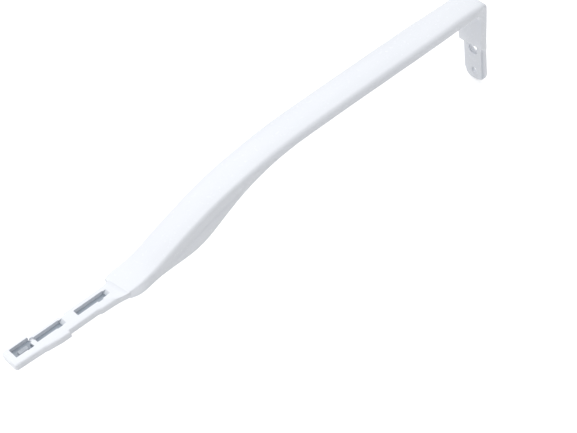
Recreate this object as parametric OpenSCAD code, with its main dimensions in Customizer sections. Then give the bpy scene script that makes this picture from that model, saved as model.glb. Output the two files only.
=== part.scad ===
// Refrigerator door handle, one moulding: a slotted tail that lies on the door front, a foot that
// ramps up into an arched grip, and a leg at the head that ends in a two-hole tab on the door's edge.
// Lengths are in millimetres. X runs from the tail to the head, Z stands out from the door front
// (the plane Z = 0), and Y runs across the handle. The origin is on the foot's flat base.
// Distances called "from the tail end" are measured along X from the tail's free end.

/* [Overall] */
// Length from the tail's free end to the tab's outer face
handle_length = 480; // [450:1:560]
// Distance of the origin from the tail's free end
datum_from_tail = 132; // [130:0.5:136]
// Height of the grip's outer face above the door front, at the head
head_height = 46.4; // [42:0.2:56]
// Height of the grip's outer face above the door front, where the arch levels off
arch_height = 44.7; // [41:0.1:52]

/* [Grip] */
// Full width of the grip
grip_width = 32; // [28:0.5:34]
// Full width of the grip where it meets the leg
grip_end_width = 30.4; // [26:0.2:32]
// Thickness of the grip between its outer face and the finger side, at the head
grip_thickness = 9.2; // [7:0.2:12]
// Radius of the grip's two outer edges
grip_edge_radius = 5.6; // [3:0.1:6]
// Radius of the outer edges along the foot's ramp
ramp_edge_radius = 3.9; // [3:0.1:6]
// Radius of the grip's two finger side edges
finger_edge_radius = 1.6; // [0.6:0.1:2.5]
// Height of the outer face's crown across the width
crown_height = 0.9; // [0.2:0.1:1.6]
// Distance from the tail end to where the arch levels off
arch_start = 286; // [270:1:310]

/* [Foot] */
// Length of the flat base, from the tail to the heel
foot_length = 52; // [48:0.5:60]
// Width of the foot's sole at its widest, just behind the tail
sole_width = 35; // [32:0.5:40]
// Width of the foot's base behind the sole's flare
base_width = 28.4; // [27:0.2:32]
// Slope of the ramp's outer face, rise over run
ramp_slope = 0.41; // [0.34:0.01:0.44]
// Slope of the heel's underside as it leaves the door
heel_slope = 0.53; // [0.45:0.01:0.6]
// Wall left over the cores in the foot's base
foot_wall = 3; // [2:0.1:4]
// Thickness of the ribs between the cores
rib_thickness = 2.4; // [1.6:0.1:3.5]
// Depth of the soft step under the grip's band, where the foot's wall starts
band_step = 0.7; // [0:0.1:1.2]
// Number of cores in a row along the foot
core_count = 3; // [2:1:4]

/* [Head] */
// Depth of the leg along the handle
leg_depth = 7.4; // [4.5:0.1:9]
// Width of the leg where it leaves the grip
leg_top_width = 28.5; // [26:0.5:31]
// Width of the leg at the shoulder
leg_foot_width = 26.2; // [24:0.2:28]
// Radius of the outer corner between the grip and the leg
corner_radius = 4.5; // [3:0.1:6]
// Radius of the inner corner between the finger side and the leg
inner_corner_radius = 8; // [4:0.5:10]
// Height of the shoulder's upper end above the door front
shoulder_top = 1; // [1:0.5:6]
// Height of the shoulder's curve, which clears the door's rounded edge
shoulder_height = 12; // [11:0.5:16]
// Share of the shoulder's height in which its inner face steps back to the tab
shoulder_step = 0.62; // [0.4:0.02:1]

/* [Tab] */
// Width of the tab
tab_width = 24; // [22:0.5:26]
// Thickness of the tab's plate
plate_thickness = 2; // [1.6:0.1:3]
// Height of the seating land over the plate
land_height = 1.4; // [0.8:0.1:2]
// Margin of plate left bare along the land's two sides
land_margin = 3.2; // [2:0.1:4]
// Margin of plate left bare round the land's end
land_end_margin = 1; // [0.5:0.1:2.5]
// Radius of the clearance in the land round the first screw hole
land_notch_radius = 5.2; // [4.5:0.1:7]
// Reach of the tab behind the door front
tab_reach = 40.6; // [38:0.2:50]
// Radius of the tab's end corners
tab_corner_radius = 10.5; // [8:0.5:11]
// Radius of the screw holes
screw_hole_radius = 2.9; // [2:0.05:3.4]
// Distance between the two screw holes
screw_spacing = 22.8; // [20:0.1:26]
// Distance of the first screw hole behind the door front
first_screw_depth = 7.8; // [7:0.1:9]

/* [Tail] */
// Length of the tail up to the crease at the foot
tail_length = 98; // [96:0.5:106]
// Thickness of the tail
tail_thickness = 5; // [4.2:0.1:6]
// Distance of the tail's near edge from the centre plane, at the free end
tail_near = 9.7; // [9:0.1:11]
// Distance of the near edge from the centre plane where the tail is notched
tail_notch = 10.4; // [9:0.1:11]
// Distance of the tail's far edge from the centre plane, at the free end
tail_far = 8.5; // [8:0.1:9.5]
// Radius of the free end's corners
tail_corner_radius = 2.6; // [1:0.1:4]
// Distance that the lug stands out past the notch
tail_step = 2.2; // [1:0.1:3]
// Thickness of the floor left under the slots
slot_floor = 1.8; // [1:0.1:2.4]

/* [Hidden] */
$fn = 64;

moulding_colour = "whitesmoke";

// Long profile of the outer face, as knots of place, height and slope
foot_start = tail_length - 2.5;
foot_end = tail_length + foot_length;
nose_height = tail_thickness - 0.35;
nose_slope = 0.14;
ramp_foot = tail_length + 34;
ramp_foot_height = tail_thickness + 7.5;
nose_end = tail_length + 16;
nose_end_height = tail_thickness + 1.9;
nose_end_slope = 0.22;
ramp_head = arch_start - 54;
ramp_head_height = arch_height - 4.2;
ramp_head_slope = 0.15;
ramp_middle = (ramp_foot + ramp_head) / 2;
ramp_sag = 3.8;
ramp_middle_height = (ramp_foot_height + ramp_head_height) / 2 + ramp_sag;
ramp_middle_slope = 0.31;
arch_slope = 0.025;
head_start = handle_length - leg_depth - inner_corner_radius - 4;
crest = [
    [foot_start, nose_height, nose_slope],
    [nose_end, nose_end_height, nose_end_slope],
    [ramp_foot, ramp_foot_height, ramp_slope],
    [ramp_middle, ramp_middle_height, ramp_middle_slope],
    [ramp_head, ramp_head_height, ramp_head_slope],
    [arch_start, arch_height, arch_slope],
    [head_start, head_height, 0]
];

// Long profile of the underside: flat on the door, then the heel's curve, then the finger side
heel_foot = foot_end + 18;
heel_foot_height = 2;
heel_foot_slope = 0.25;
heel_middle = foot_end + 38;
heel_middle_height = 10.6;
heel_top = foot_end + 66;
heel_top_height = 24.2;
heel_top_slope = 0.4;
finger_start = arch_start - 30;
finger_slope = 0.12;
arch_thickness = grip_thickness - 0.8;
finger_start_height = arch_height - arch_thickness - 1.6;
finger_height = head_height - grip_thickness;
belly = [
    [foot_end, 0, 0],
    [heel_foot, heel_foot_height, heel_foot_slope],
    [heel_middle, heel_middle_height, heel_slope],
    [heel_top, heel_top_height, heel_top_slope],
    [finger_start, finger_start_height, finger_slope],
    [arch_start, arch_height - arch_thickness, 0.02],
    [head_start, finger_height, 0]
];

// Half widths along the handle, at the underside and at the outer face
nose_half = 12.4;
sole_peak = tail_length + 10;
sole_end = tail_length + 31;
waist = tail_length + 60;
ramp_waist = arch_start - 86;
ramp_waist_half = base_width / 2 + 0.4;
grip_full = arch_start - 30;
grip_narrows = head_start - 50;
base_half = [
    [foot_start, nose_half, 1.1],
    [sole_peak, sole_width / 2, 0],
    [sole_end, base_width / 2 + 0.5, -0.04],
    [waist, base_width / 2, 0],
    [ramp_waist, ramp_waist_half, 0.02],
    [grip_full, grip_width / 2, 0],
    [grip_narrows, grip_width / 2, 0],
    [head_start, grip_end_width / 2, 0]
];
crest_half = [
    [foot_start, nose_half - 0.5, 0.5],
    [sole_peak, base_width / 2 + 0.2, 0.02],
    [waist, base_width / 2 + 0.6, 0],
    [ramp_waist, ramp_waist_half + 0.6, 0.01],
    [grip_full, grip_width / 2, 0],
    [grip_narrows, grip_width / 2, 0],
    [head_start, grip_end_width / 2 - 0.2, 0]
];

// Radii of the section's corners along the handle
nose_edge_radius = 0.7;
edge_radii = [
    [foot_start, nose_edge_radius, 0.1],
    [ramp_foot, ramp_edge_radius, 0],
    [ramp_waist, ramp_edge_radius, 0],
    [grip_full, grip_edge_radius, 0],
    [head_start, grip_edge_radius, 0]
];
sole_edge_radius = 0.5;
lower_radii = [
    [foot_end, sole_edge_radius, 0],
    [finger_start, finger_edge_radius, 0]
];

// Leg and shoulder
leg_edge_radius = 1.1;
plate_edge_radius = 0.35;
leg_inner = handle_length - leg_depth;
plate_inner = handle_length - plate_thickness;
land_inner = plate_inner - land_height;
shoulder_bottom = shoulder_top - shoulder_height;

// Numbers of steps in the swept body
arc_steps = 8;
lower_arc_steps = 3;
crown_steps = 3;
band_steps = 4;
ramp_steps = 46;
grip_steps = 16;
corner_steps = 10;
leg_steps = 4;
shoulder_steps = 10;

function hermite(a, b, x) =
    let (h = b[0] - a[0], t = (x - a[0]) / h, s = t * t, c = s * t)
    a[1] * (2 * c - 3 * s + 1) + a[2] * h * (c - 2 * s + t) + b[1] * (3 * s - 2 * c) + b[2] * h * (c - s);

// Value at x of the smooth curve through a list of knots, held level past both ends
function along(knots, x, i = 0) =
    x <= knots[0][0] ? knots[0][1]
    : i > len(knots) - 2 ? knots[len(knots) - 1][1]
    : x <= knots[i + 1][0] ? hermite(knots[i], knots[i + 1], x)
    : along(knots, x, i + 1);

function mix(a, b, t) = a + (b - a) * t;
function ease(t) = t * t * (3 - 2 * t);
function arc_points(centre, radius, from, to, steps) =
    [for (i = [0:steps]) let (a = mix(from, to, i / steps)) centre + radius * [cos(a), sin(a)]];

// Right half of a section that is "thick" high: lower corner, soft step under the grip's band, upper
// corner and crown, from the lower middle up and over to the crown's centre
band_rise = 3.2;
function half_section(thick, low_half, high_half, low_r, high_r, crown) =
    let (
        flank = thick - crown,
        r1 = min(low_r, thick * 0.2),
        r2 = min(high_r, flank - r1 - thick * 0.06),
        c1 = [low_half - r1, r1],
        c2 = [high_half - r2, flank - r2],
        d = c2 - c1,
        tilt = atan2(d[1], d[0]) - acos((r1 - r2) / norm(d)),
        crown_slope = atan(2 * crown / (high_half - r2)),
        last = c2 + r2 * [cos(90 - crown_slope), sin(90 - crown_slope)],
        lower_end = c1 + r1 * [cos(tilt), sin(tilt)],
        upper_start = c2 + r2 * [cos(tilt), sin(tilt)],
        share = ease(min(1, max(0, (flank - grip_thickness - band_rise) / band_rise))),
        t_high = mix(0.7, 1 - (grip_thickness - r2) / norm(upper_start - lower_end), share),
        t_low = mix(0.3, t_high - band_rise / norm(upper_start - lower_end), share)
    )
    concat(
        arc_points(c1, r1, -90, tilt, lower_arc_steps),
        [for (i = [0:band_steps]) let (k = i / band_steps)
            mix(lower_end, upper_start, mix(t_low, t_high, k)) - [band_step * share * ease(k), 0]],
        arc_points(c2, r2, tilt, 90 - crown_slope, arc_steps),
        [for (i = [1:crown_steps]) let (t = 1 - i / crown_steps)
            [last[0] * t, last[1] + (thick - last[1]) * (1 - t * t)]]
    );

// A whole closed section, counterclockwise, from its right half
function section(half) =
    let (n = len(half))
    concat(half, [for (i = [n - 2:-1:0]) [-half[i][0], half[i][1]]]);

// A section set in space between an inner and an outer point of the side view
function placed(inner, outer, half) =
    let (rise = (outer - inner) / norm(outer - inner))
    [for (p = section(half)) let (q = inner + p[1] * rise) [q[0], p[0], q[1]]];

function body_ring(x) =
    let (low = along(belly, x), high = along(crest, x))
    placed([x, low], [x, high], half_section(high - low, along(base_half, x), along(crest_half, x),
        along(lower_radii, x), along(edge_radii, x), crown_height * min(1, (high - low) / grip_thickness)));

leg_start_height = head_height - corner_radius;
leg_top_half = leg_top_width / 2;
leg_taper = leg_start_height - shoulder_top;
grip_end_half = grip_end_width / 2;

function corner_ring(t) =
    let (
        a = 90 * t,
        outer = [handle_length - corner_radius + corner_radius * sin(a),
            head_height - corner_radius + corner_radius * cos(a)],
        inner = [leg_inner - inner_corner_radius + inner_corner_radius * sin(a),
            finger_height - inner_corner_radius + inner_corner_radius * cos(a)],
        half = mix(grip_end_half, leg_top_half, ease(t))
    )
    placed(inner, outer, half_section(norm(outer - inner), half, half - 0.2 * (1 - t),
        mix(finger_edge_radius, leg_edge_radius, t), mix(grip_edge_radius, leg_edge_radius, ease(t)),
        mix(crown_height, 0, ease(t))));

function leg_half(z) =
    z > shoulder_top ? mix(leg_foot_width / 2, leg_top_half, ease(min(1, (z - shoulder_top) / leg_taper)))
    : mix(tab_width / 2, leg_foot_width / 2, ease(max(0, (z - shoulder_bottom) / shoulder_height)));

function leg_ring(z, inner_x, inner_z, radius) =
    placed([inner_x, inner_z], [handle_length, z],
        half_section(norm([handle_length - inner_x, z - inner_z]), leg_half(z), leg_half(z), radius, radius, 0));

leg_inner_start = finger_height - inner_corner_radius;
leg_low = shoulder_top + 6;

body_rings = concat(
    [for (i = [0:ramp_steps]) body_ring(mix(foot_start, arch_start, i / ramp_steps))],
    [for (i = [1:grip_steps]) body_ring(mix(arch_start, head_start, i / grip_steps))],
    [for (i = [0:corner_steps]) corner_ring(i / corner_steps)],
    [for (i = [1:leg_steps]) let (t = i / leg_steps)
        leg_ring(mix(leg_start_height, leg_low, t), leg_inner, mix(leg_inner_start, leg_low, t), leg_edge_radius)],
    [leg_ring(shoulder_top, leg_inner, shoulder_top, leg_edge_radius)],
    [for (i = [1:shoulder_steps]) let (t = i / shoulder_steps, z = mix(shoulder_top, shoulder_bottom, t))
        leg_ring(z, mix(leg_inner, plate_inner, ease(min(1, t / shoulder_step))), z,
            mix(leg_edge_radius, plate_edge_radius, ease(t)))]
);

// Mean of a ring's points, used as the hub of its end face
function hub(ring) = [for (k = [0:2]) [for (p = ring) p[k]] * [for (p = ring) 1] / len(ring)];

module sweep(rings) {
    n = len(rings[0]);
    m = len(rings);
    points = [for (ring = rings) each ring, hub(rings[0]), hub(rings[m - 1])];
    sides = [for (i = [0:m - 2], j = [0:n - 1]) let (k = (j + 1) % n)
        each [[i * n + k, i * n + j, (i + 1) * n + j], [(i + 1) * n + k, i * n + k, (i + 1) * n + j]]];
    first_cap = [for (j = [0:n - 1]) [j, (j + 1) % n, m * n]];
    last_cap = [for (j = [0:n - 1]) [(m - 1) * n + (j + 1) % n, (m - 1) * n + j, m * n + 1]];
    polyhedron(points, concat(sides, first_cap, last_cap), convexity = 6);
}

// Foot, ramp, grip, leg and shoulder as one swept body
module swept_body() {
    sweep(body_rings);
}

// Cores in the foot's base, open to the door, with ribs between them and along the middle
core_start = tail_length + 14;
core_end = foot_end + 9;
core_pitch = (core_end - core_start + rib_thickness) / core_count;
core_half = base_width / 2 - foot_wall;
core_clear = 0.8;
module foot_cores() {
    for (i = [0:core_count - 1]) {
        x = core_start + i * core_pitch;
        rise = along(crest, x) - foot_wall - core_clear;
        for (side = [-1, 1]) {
            y = side > 0 ? rib_thickness / 2 : -core_half;
            translate([x, y, -1])
                cube([core_pitch - rib_thickness, core_half - rib_thickness / 2, rise + 1]);
        }
    }
}

// Tab on the door's edge: a plate with a raised land, both with round end corners
module tab_outline(half, top, bottom, r) {
    translate([-half, bottom + r])
        square([2 * half, top - bottom - r]);
    translate([r - half, bottom])
        square([2 * (half - r), r * 2]);
    for (side = [-1, 1])
        translate([side * (half - r), bottom + r])
            circle(r);
}

plate_top = shoulder_bottom + 1.5;
module tab() {
    // The outline is drawn across and up, then turned so that it is extruded along the handle
    translate([plate_inner, 0, 0])
        rotate([90, 0, 90])
            linear_extrude(plate_thickness)
                tab_outline(tab_width / 2, plate_top, -tab_reach, tab_corner_radius);
    translate([land_inner, 0, 0])
        rotate([90, 0, 90])
            linear_extrude(land_height + plate_thickness / 2)
                difference() {
                    intersection() {
                        tab_outline(tab_width / 2 - land_end_margin, shoulder_top - 2, land_end_margin - tab_reach,
                            tab_corner_radius - land_end_margin);
                        translate([land_margin - tab_width / 2, -tab_reach])
                            square([tab_width - 2 * land_margin, tab_reach + shoulder_top]);
                    }
                    translate([0, -first_screw_depth])
                        circle(land_notch_radius);
                }
}

screw_hole_extra = 4;
module screw_holes() {
    for (i = [0:1])
        translate([leg_inner - screw_hole_extra, 0, -first_screw_depth - i * screw_spacing])
            rotate([0, 90, 0])
                cylinder(h = leg_depth + 2 * screw_hole_extra, r = screw_hole_radius);
}

// Tail seen from above. The near edge is on the side of negative Y
lug_start = 25.6;
lug_full = 38;
lug_end = 46.8;
root_start = 72.4;
root_step = 3.2;
far_step = 2.4;
far_step_start = 22;
far_notch_start = 49.3;
far_notch_end = 53.6;
far_notch_depth = 1.8;
tail_far_inner = tail_far - far_step;
tail_lug = tail_notch + tail_step;
tail_root = tail_notch + 2.6;
tail_overlap = 1.6;
module tail_outline() {
    r = tail_corner_radius;
    difference() {
        union() {
            translate([r, -tail_near])
                square([tail_length - r, tail_near + tail_far_inner]);
            translate([0, r - tail_near])
                square([far_step_start, tail_near + tail_far - 2 * r]);
            translate([r, 0])
                square([far_step_start - r, tail_far]);
            for (y = [r - tail_near, tail_far - r])
                translate([r, y])
                    circle(r);
            polygon([[r, 0], [r, -tail_near], [lug_start, -tail_notch - 0.2], [lug_start + 1.4, -tail_notch - 0.8],
                [lug_full, -tail_lug], [lug_end, -tail_lug - 0.1], [lug_end + 0.5, -tail_notch],
                [root_start, -tail_notch], [root_start + root_step, -tail_notch - 1.3],
                [tail_length - 12, -tail_notch - 1.8], [tail_length - 5, -tail_root], [tail_length, -tail_root - 1],
                [tail_length + tail_overlap, -tail_root - 1], [tail_length + tail_overlap, tail_far_inner + 2],
                [tail_length - 8, tail_far_inner + 0.4], [tail_length - 14, tail_far_inner], [lug_end, 0]]);
        }
        translate([far_notch_start, tail_far_inner - far_notch_depth])
            square([far_notch_end - far_notch_start, far_notch_depth * 2]);
    }
}

// Slots in the tail's top, numbered from the free end
slot_depth = tail_thickness - slot_floor;
slot_a = [5.6, 22.2, 1.2, 6.9];
slot_a_near = [5.6, 20.7, -3.1, 1.3];
slot_b = [24.6, 47, -2.4, 3.7];
slot_c = [60, 86.4, -3.5, 2.7];
ramp_length = 3;
bar_drop = 1.4;
latch_depth = 1.9;
module pocket(span, depth) {
    translate([span[0], span[2], tail_thickness - depth])
        cube([span[1] - span[0], span[3] - span[2], depth + 1]);
}

// Slot end that rises to the top in a short slope
module sloped_end(x, low_y, high_y) {
    translate([x, high_y, 0])
        rotate([90, 0, 0])
            linear_extrude(high_y - low_y)
                polygon([[-0.1, slot_floor], [-0.1, tail_thickness + 1], [ramp_length + 1, tail_thickness + 1],
                    [ramp_length, tail_thickness], [0, slot_floor + 1.2]]);
}

tooth_pitch = 1.15;
tooth_height = 0.6;
ledge = [9.4, 17.8, -0.9, 2.2];
ledge_height = 3.4;
module toothed_ledge() {
    count = floor((ledge[1] - ledge[0]) / tooth_pitch);
    teeth = [for (i = [0:count - 1]) each [[i * tooth_pitch, ledge_height],
        [(i + 0.5) * tooth_pitch, ledge_height + tooth_height]]];
    translate([ledge[0], ledge[3], 0])
        rotate([90, 0, 0])
            linear_extrude(ledge[3] - ledge[2] + 0.5)
                polygon(concat([[0, slot_floor / 2]], teeth, [[count * tooth_pitch, ledge_height],
                    [count * tooth_pitch, slot_floor / 2]]));
}

nose_radius = 1.3;
module tail() {
    difference() {
        linear_extrude(tail_thickness)
            tail_outline();
        pocket(slot_a, slot_depth);
        difference() {
            pocket(slot_a_near, slot_depth);
            // Rounded nose of the bridge between the first two slots
            difference() {
                translate([slot_a_near[1] - nose_radius, slot_a_near[3] - nose_radius, 0])
                    cube([nose_radius + 1, nose_radius + 1, tail_thickness]);
                translate([slot_a_near[1] - nose_radius, slot_a_near[3] - nose_radius, -1])
                    cylinder(h = tail_thickness + 2, r = nose_radius);
            }
        }
        pocket([15.6, slot_a_near[1] + 0.2, slot_a_near[2] - 0.6, slot_a_near[2] + 1], latch_depth);
        pocket([slot_a[1] - 0.1, slot_b[0] + 0.1, slot_a[2] - 0.2, slot_a[3] - 2.2], bar_drop);
        pocket(slot_b, slot_depth);
        pocket([42, slot_b[1], slot_b[2] - 0.7, slot_b[2] + 0.1], slot_depth);
        sloped_end(slot_b[1], slot_b[2] - 0.3, slot_b[3] - 0.6);
        pocket(slot_c, slot_depth);
        pocket([78, 82.6, slot_c[2] - 1.1, slot_c[2] + 0.1], slot_depth);
        sloped_end(slot_c[1], slot_c[2] + 0.3, slot_c[3] - 0.7);
    }
    toothed_ledge();
}

module handle() {
    color(moulding_colour)
        translate([-datum_from_tail, 0, 0])
            difference() {
                union() {
                    swept_body();
                    tab();
                    tail();
                }
                foot_cores();
                screw_holes();
            }
}

handle();
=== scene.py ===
import math

import bpy
from mathutils import Matrix, Vector

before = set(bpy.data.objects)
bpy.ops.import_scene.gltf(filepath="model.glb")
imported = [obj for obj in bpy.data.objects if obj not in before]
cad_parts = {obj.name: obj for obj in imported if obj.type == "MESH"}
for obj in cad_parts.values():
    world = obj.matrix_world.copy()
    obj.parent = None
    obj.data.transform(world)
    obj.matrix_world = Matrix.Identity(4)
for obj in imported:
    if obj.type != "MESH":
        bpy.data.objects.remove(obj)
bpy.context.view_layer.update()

MM = 0.001

# The tail's slots seen from above, from x to x and y to y in mm, with their sloped ends and
# without their far walls
SLOTS = ((-126.4, -109.8, -3.7, 6.85), (-107.4, -82.0, -2.4, 3.65), (-72.0, -42.6, -3.5, 2.65))
SLOT_FLOOR = 1.8
TAIL_TOP = 5.0

# The line across the part where the ramp leaves the tail's top, in mm, and how far it runs
# towards the tail for each mm across
RAMP_LINE = -34.7
RAMP_LINE_SKEW = 0.13
RAMP_SHADE_LENGTH = 4.0

# The long near edge of the tail's top, in mm: what it lies beyond in y and x, and its rounding
NEAR_SIDE = -6.2
NEAR_EDGE_END = -38.0
NEAR_EDGE_RADIUS = 1.8

# Edges that turn by more than the first are shaded hard. The rounded one turns by more than the
# second.
SMOOTH_ANGLE = math.radians(36)
SHARP_ANGLE = math.radians(50)

# The plastic's slightly uneven white, and the painted shade at the ramp's line and deep in the
# slots
WHITES = (0.815, 0.838, 0.885), (0.838, 0.858, 0.900)
RAMP_PAINTED_SHADE_GREY = (0.50, 0.52, 0.55)
SLOT_SHADE_GREYS = (0.300, 0.338, 0.388), (0.350, 0.394, 0.450)


class Tree:
    """A node tree, built a node at a time. A value is a socket of another node or a constant."""

    def __init__(self, tree):
        self.nodes, self.links = tree.nodes, tree.links

    def feed(self, socket, value):
        if isinstance(value, bpy.types.NodeSocket):
            self.links.new(value, socket)
        elif socket.type == "RGBA":
            socket.default_value = (*value, 1)
        else:
            socket.default_value = value

    def node(self, kind, **values):
        node = self.nodes.new(kind)
        for name, value in values.items():
            self.feed(node.inputs[name.replace("_", " ")], value)
        return node

    def parts(self, vector):
        """The x, y and z of a vector."""
        node = self.node("ShaderNodeSeparateXYZ", Vector=vector)
        return [node.outputs[k] for k in "XYZ"]


class ShaderTree(Tree):
    """The nodes of a material or of the world."""

    def calc(self, operation, *values):
        node = self.nodes.new("ShaderNodeMath")
        node.operation = operation
        for socket, value in zip(node.inputs, values):
            self.feed(socket, value)
        return node.outputs["Value"]

    def product(self, value, *factors):
        for factor in factors:
            value = self.calc("MULTIPLY", value, factor)
        return value

    def inside(self, value, low, high):
        """1 where value lies between low and high, else 0."""
        return self.product(self.calc("GREATER_THAN", value, low),
                            self.calc("LESS_THAN", value, high))

    def remap(self, value, low, high, new_low, new_high):
        return self.node("ShaderNodeMapRange", Value=value, From_Min=low, From_Max=high,
                         To_Min=new_low, To_Max=new_high).outputs["Result"]

    def noise(self, vector, scale, detail, roughness=0.5):
        return self.node("ShaderNodeTexNoise", Vector=vector, Scale=scale, Detail=detail,
                         Roughness=roughness).outputs["Fac"]

    def mix(self, kind, factor, a, b):
        node = self.nodes.new("ShaderNodeMix")
        node.data_type = kind
        for name, value in (("Factor", factor), ("A", a), ("B", b)):
            self.feed(node.inputs[name], value)
        return node.outputs["Result"]

    def seen(self, thrown, shown):
        """Thrown for the light that a surface gives the part, shown for what the camera sees."""
        camera_ray = self.node("ShaderNodeLightPath").outputs["Is Camera Ray"]
        return self.mix("FLOAT", camera_ray, thrown, shown)


class GeometryTree(Tree):
    """A modifier's node group with one mesh in and one mesh out."""

    def __init__(self, name):
        self.group = bpy.data.node_groups.new(name, "GeometryNodeTree")
        for way in ("INPUT", "OUTPUT"):
            self.group.interface.new_socket(name="Geometry", in_out=way,
                                            socket_type="NodeSocketGeometry")
        super().__init__(self.group)
        self.mesh = self.node("NodeGroupInput").outputs[0]

    def step(self, kind, **values):
        """Adds a node that the mesh passes through."""
        node = self.node(kind, Geometry=self.mesh, **values)
        self.mesh = node.outputs["Geometry"]
        return node

    def edge_angle(self):
        return self.node("GeometryNodeInputMeshEdgeAngle").outputs["Unsigned Angle"]

    def test(self, value, operation, limit):
        node = self.nodes.new("FunctionNodeCompare")
        node.data_type = "FLOAT"
        node.operation = operation
        self.feed(node.inputs["A"], value)
        self.feed(node.inputs["B"], limit)
        return node.outputs["Result"]

    def both(self, a, b):
        node = self.nodes.new("FunctionNodeBooleanMath")
        node.operation = "AND"
        self.feed(node.inputs[0], a)
        self.feed(node.inputs[1], b)
        return node.outputs[0]

    def close(self):
        self.links.new(self.mesh, self.node("NodeGroupOutput").inputs[0])
        return self.group


def new_material(name):
    material = bpy.data.materials.new(name)
    material.use_nodes = True
    material.node_tree.nodes.clear()
    tree = ShaderTree(material.node_tree)
    shader = tree.node("ShaderNodeBsdfPrincipled")
    tree.node("ShaderNodeOutputMaterial", Surface=shader.outputs["BSDF"])
    return material, tree, shader


def slot_shade_mask(tree, x, y, z):
    """Where painted shade goes: 1 on the slots' floors, less on the ledge and up the sloped ends,
    0 everywhere else.
    """
    anywhere = 0.0
    for x0, x1, y0, y1 in SLOTS:
        here = tree.product(tree.inside(x, x0 * MM, x1 * MM), tree.inside(y, y0 * MM, y1 * MM))
        anywhere = tree.calc("MAXIMUM", anywhere, here)
    below_top = tree.inside(z, 0.5 * SLOT_FLOOR * MM, (TAIL_TOP - 0.03) * MM)
    fade = tree.remap(z, 1.05 * SLOT_FLOOR * MM, TAIL_TOP * MM, 1.0, 0.30)
    return tree.product(anywhere, below_top, fade)


def painted_ramp_shade(tree, x, y, z):
    """A faint painted shade on the tail's flat top, strongest along the line where the ramp leaves
    it.
    """
    along = tree.calc("MULTIPLY_ADD", y, RAMP_LINE_SKEW, x)
    start = (RAMP_LINE - RAMP_SHADE_LENGTH) * MM
    on_top = tree.inside(z, (TAIL_TOP - 0.5) * MM, (TAIL_TOP + 7.0) * MM)
    return tree.product(tree.inside(along, start, RAMP_LINE * MM), on_top,
                        tree.remap(along, start, (RAMP_LINE - 0.3) * MM, 0.0, 0.20))


def moulded_plastic():
    material, tree, shader = new_material("gloss_white_plastic")
    place = tree.node("ShaderNodeTexCoord").outputs["Object"]
    x, y, z = tree.parts(place)
    # Slight unevenness of the moulding's white, much longer along the part than across it
    stretched = tree.node("ShaderNodeMapping", Vector=place, Scale=(0.35, 1.0, 1.0))
    uneven = tree.remap(tree.noise(stretched.outputs["Vector"], 30.0, 2.0), 0.3, 0.7, 0.0, 1.0)
    white = tree.mix("RGBA", uneven, *WHITES)
    # Painted shade along the line where the ramp leaves the tail's top
    white = tree.mix("RGBA", painted_ramp_shade(tree, x, y, z), white, RAMP_PAINTED_SHADE_GREY)
    # Painted shade deep in the tail's slots: a bluish grey on their floors, lighter up the sloped
    # ends
    slot_shade_noise = tree.noise(place, 900.0, 3.0, 0.6)
    slot_shade = tree.mix("RGBA", slot_shade_noise, *SLOT_SHADE_GREYS)
    tree.feed(shader.inputs["Base Color"], tree.mix("RGBA", slot_shade_mask(tree, x, y, z), white, slot_shade))
    # Gloss that wanders a little
    fine = tree.noise(place, 420.0, 4.0, 0.6)
    tree.feed(shader.inputs["Roughness"], tree.remap(fine, 0.3, 0.75, 0.20, 0.30))
    # Very low orange peel of a polished mould
    peel = tree.node("ShaderNodeBump", Height=tree.noise(place, 260.0, 2.0), Strength=0.04,
                     Distance=0.2 * MM)
    tree.feed(shader.inputs["Normal"], peel.outputs["Normal"])
    shader.inputs["IOR"].default_value = 1.5
    return material


def weigh_near_edge():
    """Marks the long near edge of the tail's top, which the moulding rounds most."""
    geo = GeometryTree("edge_weights")
    x, y, z = geo.parts(geo.node("GeometryNodeInputPosition").outputs["Position"])
    near = geo.test(geo.edge_angle(), "GREATER_THAN", SHARP_ANGLE)
    for value, operation, limit in ((y, "LESS_THAN", NEAR_SIDE), (x, "LESS_THAN", NEAR_EDGE_END),
                                    (z, "GREATER_THAN", TAIL_TOP - 0.1)):
        near = geo.both(near, geo.test(value, operation, limit * MM))
    store = geo.step("GeometryNodeStoreNamedAttribute", Name="bevel_weight_edge", Selection=near)
    store.data_type = "FLOAT"
    store.domain = "EDGE"
    store.inputs["Value"].default_value = 1.0
    return geo.close()


def smooth_by_angle():
    """Shades soft edges round and keeps hard edges hard."""
    geo = GeometryTree("smooth_by_angle")
    geo.step("GeometryNodeRemoveAttribute", Name="custom_normal")
    geo.step("GeometryNodeSetShadeSmooth", Shade_Smooth=True)
    hard = geo.test(geo.edge_angle(), "GREATER_THAN", SMOOTH_ANGLE)
    geo.step("GeometryNodeSetShadeSmooth", Selection=hard, Shade_Smooth=False).domain = "EDGE"
    return geo.close()


def soften(obj):
    """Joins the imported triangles, rounds the near edge and shades the swept faces smoothly."""
    obj.modifiers.new("weld", "WELD").merge_threshold = 0.001 * MM
    flat = obj.modifiers.new("flat", "DECIMATE")
    flat.decimate_type = "DISSOLVE"
    flat.angle_limit = math.radians(0.3)
    obj.modifiers.new("weights", "NODES").node_group = weigh_near_edge()
    bevel = obj.modifiers.new("edges", "BEVEL")
    bevel.limit_method = "WEIGHT"
    bevel.width = NEAR_EDGE_RADIUS * MM
    bevel.segments = 4
    bevel.use_clamp_overlap = False
    obj.modifiers.new("shade", "NODES").node_group = smooth_by_angle()


def link(obj):
    bpy.context.scene.collection.objects.link(obj)
    return obj


def area(name, place, target, size, power, glossy=True):
    """A rectangular light at place that faces target. With glossy off, no reflection shows it."""
    light = bpy.data.lights.new(name, "AREA")
    light.shape = "RECTANGLE"
    light.size, light.size_y = size
    light.energy = power
    obj = link(bpy.data.objects.new(name, light))
    obj.location = place
    obj.visible_glossy = glossy
    obj.rotation_euler = (Vector(target) - Vector(place)).to_track_quat("-Z", "Y").to_euler()


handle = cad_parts["handle"]
handle.data.materials.clear()
handle.data.materials.append(moulded_plastic())
soften(handle)

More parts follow.
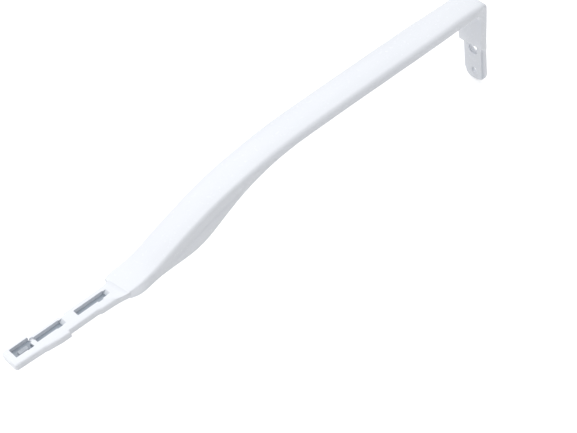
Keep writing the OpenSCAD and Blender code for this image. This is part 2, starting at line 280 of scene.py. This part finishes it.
# The floor, just below the tab's end: paper that the camera sees white, but that throws little
# light back up
FLOOR_Z = -0.0414
FLOOR_HALF = 6.0
floor_mesh = bpy.data.meshes.new("floor")
floor_mesh.from_pydata([(x * FLOOR_HALF, y * FLOOR_HALF, FLOOR_Z)
                        for x, y in ((-1, -1), (1, -1), (1, 1), (-1, 1))], [], [(0, 1, 2, 3)])
paper, paper_tree, paper_shader = new_material("floor_paper")
for socket, value in (("Base Color", (0.70, 0.70, 0.70)), ("Roughness", 0.9),
                      ("Emission Color", (1, 1, 1)),
                      ("Emission Strength", paper_tree.seen(thrown=0.225, shown=0.50))):
    paper_tree.feed(paper_shader.inputs[socket], value)
floor_mesh.materials.append(paper)
floor = link(bpy.data.objects.new("floor", floor_mesh))

# Plain colour transform, so that whites stay white as in the photograph
bpy.context.scene.view_settings.view_transform = "Standard"

# Soft sky, brightest overhead and behind the part, dim on the near side and a little at the
# tail's end, and white where the camera looks past the floor
world = bpy.data.worlds.new("studio")
bpy.context.scene.world = world
world.use_nodes = True
sky = ShaderTree(world.node_tree)
towards_x, towards_y, towards_z = sky.parts(sky.node("ShaderNodeTexCoord").outputs["Generated"])
glow = sky.product(sky.remap(towards_z, 0.0, 0.9, 0.20, 1.20),
                   sky.remap(towards_y, -0.9, 0.9, 0.55, 1.30),
                   sky.remap(towards_x, -0.9, 0.4, 0.62, 1.0))
background = sky.nodes["Background"]
sky.feed(background.inputs["Color"], (0.985, 0.992, 1.0))
sky.feed(background.inputs["Strength"], sky.seen(thrown=glow, shown=1.05))

area("key", (0.1, 0.55, 1.5), (0.1, 0.0, 0.0), (2.6, 2.0), 12.2)
area("end", (-1.25, -0.05, 0.55), (-0.1, 0.0, 0.0), (0.5, 0.4), 3.8, glossy=False)
area("side", (0.55, -0.55, 0.12), (0.33, 0.0, 0.0), (0.3, 0.3), 0.16, glossy=False)

# The camera that was fitted to the photograph
EYE = (-0.37296, -0.70899, 0.80585)
RIGHT = Vector((0.7417068081, -0.6610510108, -0.1135014183))
DOWN = Vector((-0.5291955921, -0.4727895723, -0.7045722430))
AHEAD = Vector((0.4120959064, 0.5826504797, -0.7004965256))
FOCAL_PX = 1514.624
WIDTH_PX = 577
SENSOR_MM = 36.0

camera_data = bpy.data.cameras.new("camera")
camera_data.sensor_fit = "HORIZONTAL"
camera_data.sensor_width = SENSOR_MM
camera_data.lens = FOCAL_PX / WIDTH_PX * SENSOR_MM
camera_data.clip_start = 0.01
camera_data.clip_end = 50.0
camera = link(bpy.data.objects.new("camera", camera_data))
turn = Matrix((RIGHT, -DOWN, -AHEAD)).transposed()
camera.matrix_world = Matrix.Translation(EYE) @ turn.to_4x4()
bpy.context.scene.camera = camera
